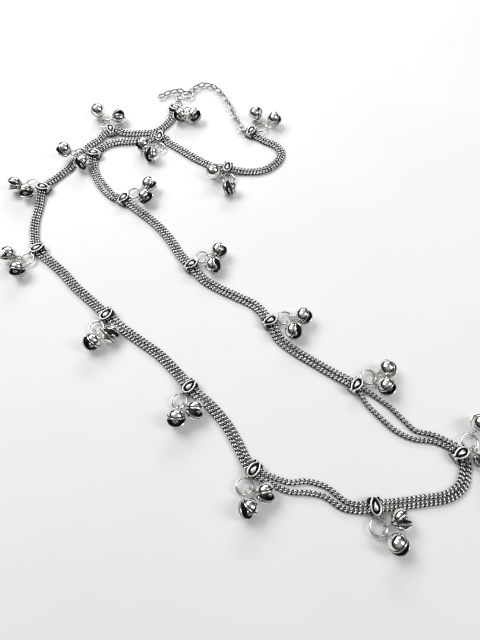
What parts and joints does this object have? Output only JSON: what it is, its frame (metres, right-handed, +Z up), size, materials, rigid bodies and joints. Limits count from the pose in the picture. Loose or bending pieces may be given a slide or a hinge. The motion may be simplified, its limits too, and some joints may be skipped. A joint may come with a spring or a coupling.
{
  "type": "waist chain",
  "caption": "Silver waist chain: two curb strands through cast clamps, each clamp with a ring of small clamshell bells, closed by a hook on a cable extension chain.",
  "frame": {"origin": "centre of the bounding box, on the surface the chain lies on", "axes": "+Z up from the surface; +Y away from the viewer of the picture; +X to the right"},
  "size_m": [0.2171, 0.2527, 0.0111],
  "materials": {
    "strands": "oxidised silver, polished on the high spots",
    "clamps": "cast silver, dark in the recesses",
    "bells": "polished silver",
    "hardware": "polished silver wire"
  },
  "bodies": {
    "root": {"bell_01a": "bells", "bell_01b": "bells", "bell_02a": "bells", "bell_02b": "bells", "bell_03a": "bells", "bell_03b": "bells", "bell_04a": "bells", "bell_04b": "bells", "bell_05a": "bells", "bell_05b": "bells", "bell_06a": "bells", "bell_06b": "bells", "bell_07a": "bells", "bell_07b": "bells", "bell_08a": "bells", "bell_08b": "bells", "bell_09a": "bells", "bell_09b": "bells", "bell_10a": "bells", "bell_10b": "bells", "bell_11a": "bells", "bell_11b": "bells", "bell_12a": "bells", "bell_12b": "bells", "bell_13a": "bells", "bell_13b": "bells", "bell_14a": "bells", "bell_14b": "bells", "bell_15a": "bells", "bell_15b": "bells", "bell_16a": "bells", "bell_16b": "bells", "bell_17a": "bells", "bell_17b": "bells", "clamp_01": "clamps", "clamp_02": "clamps", "clamp_03": "clamps", "clamp_04": "clamps", "clamp_05": "clamps", "clamp_06": "clamps", "clamp_07": "clamps", "clamp_08": "clamps", "clamp_09": "clamps", "clamp_10": "clamps", "clamp_11": "clamps", "clamp_12": "clamps", "clamp_13": "clamps", "clamp_14": "clamps", "clamp_15": "clamps", "clamp_16": "clamps", "clamp_17": "clamps", "end_ring_a": "hardware", "end_ring_b": "hardware", "extension_chain": "hardware", "hook": "hardware", "strand_left": "strands", "strand_right": "strands"}
  },
  "joints": []
}
